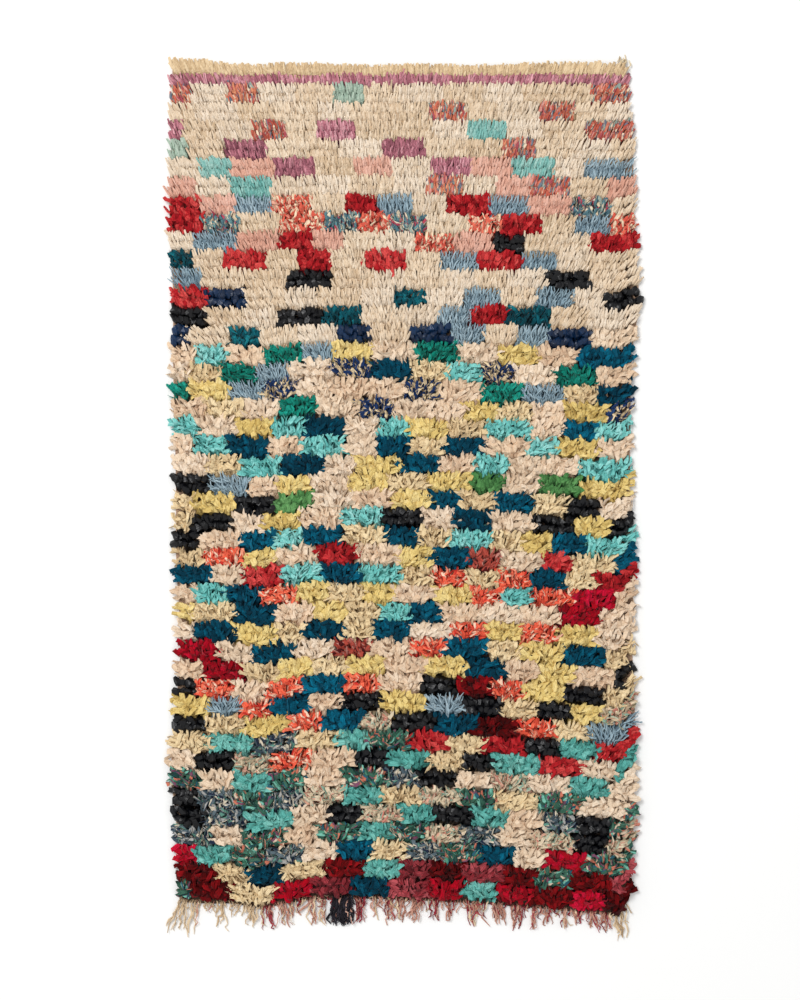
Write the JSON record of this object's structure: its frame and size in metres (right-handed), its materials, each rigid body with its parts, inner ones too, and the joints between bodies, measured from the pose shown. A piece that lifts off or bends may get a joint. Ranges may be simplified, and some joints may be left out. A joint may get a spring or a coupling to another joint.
{
  "type": "boucherouite rug",
  "caption": "Rectangular knotted rag rug lying flat, with an uneven shaggy pile of torn cloth strips in irregular coloured blocks and a loose warp fringe at its lower end.",
  "frame": {"origin": "on the floor, under the middle of the rug's outer box, fringe and corner ends included", "axes": "+Z up from the floor through the pile, +Y along the rug's length towards its neat upper end (the fringe is at -Y), +X to the right seen from above with +Y up"},
  "size_m": [1.2804, 2.3506, 0.0339],
  "materials": {
    "rag_pile": "knotted strips of torn cotton, jersey and nylon in many colours, matt with a few glossy strips",
    "warp_yarn": "loosely twisted cotton and wool warp ends, pinkish brown, beige, dark red and black",
    "cream_yarn": "undyed cotton warp, loosely twisted"
  },
  "bodies": {
    "root": {"rug_body": "rag_pile", "warp_fringe": "warp_yarn", "corner_ends": "cream_yarn"}
  },
  "joints": []
}
